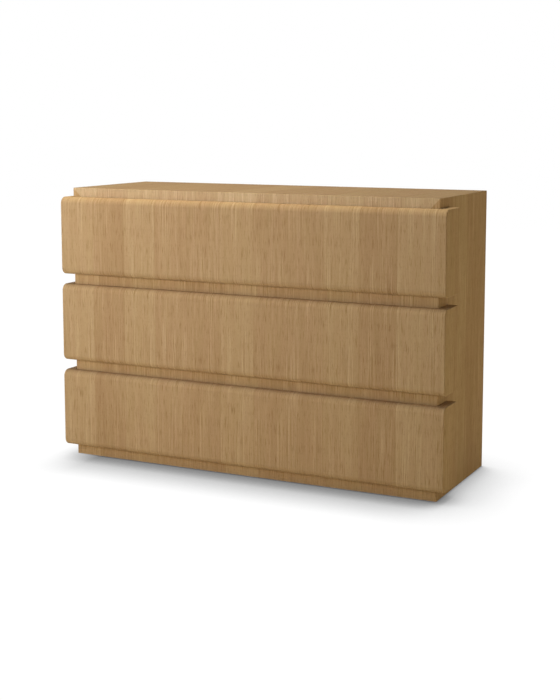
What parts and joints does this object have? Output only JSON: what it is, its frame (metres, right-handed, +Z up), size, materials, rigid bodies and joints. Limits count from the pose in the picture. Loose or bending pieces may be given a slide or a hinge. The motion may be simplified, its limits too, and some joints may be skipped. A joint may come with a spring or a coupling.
{
  "type": "chest of drawers",
  "caption": "Wide, low chest of drawers in pale oak veneer: plain box carcass, thick round-edged drawer faces that wrap round its sides, finger channels in place of handles.",
  "frame": {"origin": "on the floor, below the middle of the chest's bounding box", "axes": "+X to the right as seen from the front, -Y out of the drawer faces, +Z up"},
  "size_m": [1.22, 0.436, 0.82],
  "materials": {
    "oak_veneer": "satin oak veneer",
    "solid_birch": "satin",
    "birch_ply": "matt",
    "back_ply": "matt",
    "zinc_steel": "zinc plated",
    "nylon": "matt",
    "soft_clear": "soft"
  },
  "bodies": {
    "carcass": {"top_panel": "oak_veneer", "side_panel_left": "oak_veneer", "side_panel_right": "oak_veneer", "back_panel": "back_ply", "back_panel_screws": "zinc_steel", "floor_panel": "oak_veneer", "plinth_board": "oak_veneer", "back_rail": "oak_veneer", "rail_1": "oak_veneer", "rail_2": "oak_veneer", "floor_glides": "nylon", "bumper_dots": "soft_clear", "drawer_1_slide_outer_left": "zinc_steel", "drawer_1_slide_outer_right": "zinc_steel", "drawer_2_slide_outer_left": "zinc_steel", "drawer_2_slide_outer_right": "zinc_steel", "drawer_3_slide_outer_left": "zinc_steel", "drawer_3_slide_outer_right": "zinc_steel"},
    "drawer_1": {"drawer_1_face": "oak_veneer", "drawer_1_return_left": "oak_veneer", "drawer_1_return_right": "oak_veneer", "drawer_1_box_side_left": "solid_birch", "drawer_1_box_side_right": "solid_birch", "drawer_1_box_front": "solid_birch", "drawer_1_box_back": "solid_birch", "drawer_1_box_bottom": "birch_ply", "drawer_1_face_screws": "zinc_steel", "drawer_1_slide_inner_left": "zinc_steel", "drawer_1_slide_inner_right": "zinc_steel"},
    "drawer_1_middle_members": {"drawer_1_slide_middle_left": "zinc_steel", "drawer_1_slide_middle_right": "zinc_steel", "drawer_1_ball_retainers": "zinc_steel"},
    "drawer_2": {"drawer_2_face": "oak_veneer", "drawer_2_return_left": "oak_veneer", "drawer_2_return_right": "oak_veneer", "drawer_2_box_side_left": "solid_birch", "drawer_2_box_side_right": "solid_birch", "drawer_2_box_front": "solid_birch", "drawer_2_box_back": "solid_birch", "drawer_2_box_bottom": "birch_ply", "drawer_2_face_screws": "zinc_steel", "drawer_2_slide_inner_left": "zinc_steel", "drawer_2_slide_inner_right": "zinc_steel"},
    "drawer_2_middle_members": {"drawer_2_slide_middle_left": "zinc_steel", "drawer_2_slide_middle_right": "zinc_steel", "drawer_2_ball_retainers": "zinc_steel"},
    "drawer_3": {"drawer_3_face": "oak_veneer", "drawer_3_return_left": "oak_veneer", "drawer_3_return_right": "oak_veneer", "drawer_3_box_side_left": "solid_birch", "drawer_3_box_side_right": "solid_birch", "drawer_3_box_front": "solid_birch", "drawer_3_box_back": "solid_birch", "drawer_3_box_bottom": "birch_ply", "drawer_3_face_screws": "zinc_steel", "drawer_3_slide_inner_left": "zinc_steel", "drawer_3_slide_inner_right": "zinc_steel"},
    "drawer_3_middle_members": {"drawer_3_slide_middle_left": "zinc_steel", "drawer_3_slide_middle_right": "zinc_steel", "drawer_3_ball_retainers": "zinc_steel"}
  },
  "joints": [
    {"name": "drawer_1_travel", "type": "slide", "parent": "carcass", "child": "drawer_1", "axis": [0, -1, 0], "range_m": [0, 0.35]},
    {"name": "drawer_1_middle_travel", "type": "slide", "parent": "carcass", "child": "drawer_1_middle_members", "axis": [0, -1, 0], "range_m": [0, 0.175]},
    {"name": "drawer_2_travel", "type": "slide", "parent": "carcass", "child": "drawer_2", "axis": [0, -1, 0], "range_m": [0, 0.35]},
    {"name": "drawer_2_middle_travel", "type": "slide", "parent": "carcass", "child": "drawer_2_middle_members", "axis": [0, -1, 0], "range_m": [0, 0.175]},
    {"name": "drawer_3_travel", "type": "slide", "parent": "carcass", "child": "drawer_3", "axis": [0, -1, 0], "range_m": [0, 0.35]},
    {"name": "drawer_3_middle_travel", "type": "slide", "parent": "carcass", "child": "drawer_3_middle_members", "axis": [0, -1, 0], "range_m": [0, 0.175]}
  ],
  "couplings": [
    {"joint": "drawer_1_middle_travel", "follows": "drawer_1_travel", "ratio": 0.5},
    {"joint": "drawer_2_middle_travel", "follows": "drawer_2_travel", "ratio": 0.5},
    {"joint": "drawer_3_middle_travel", "follows": "drawer_3_travel", "ratio": 0.5}
  ]
}
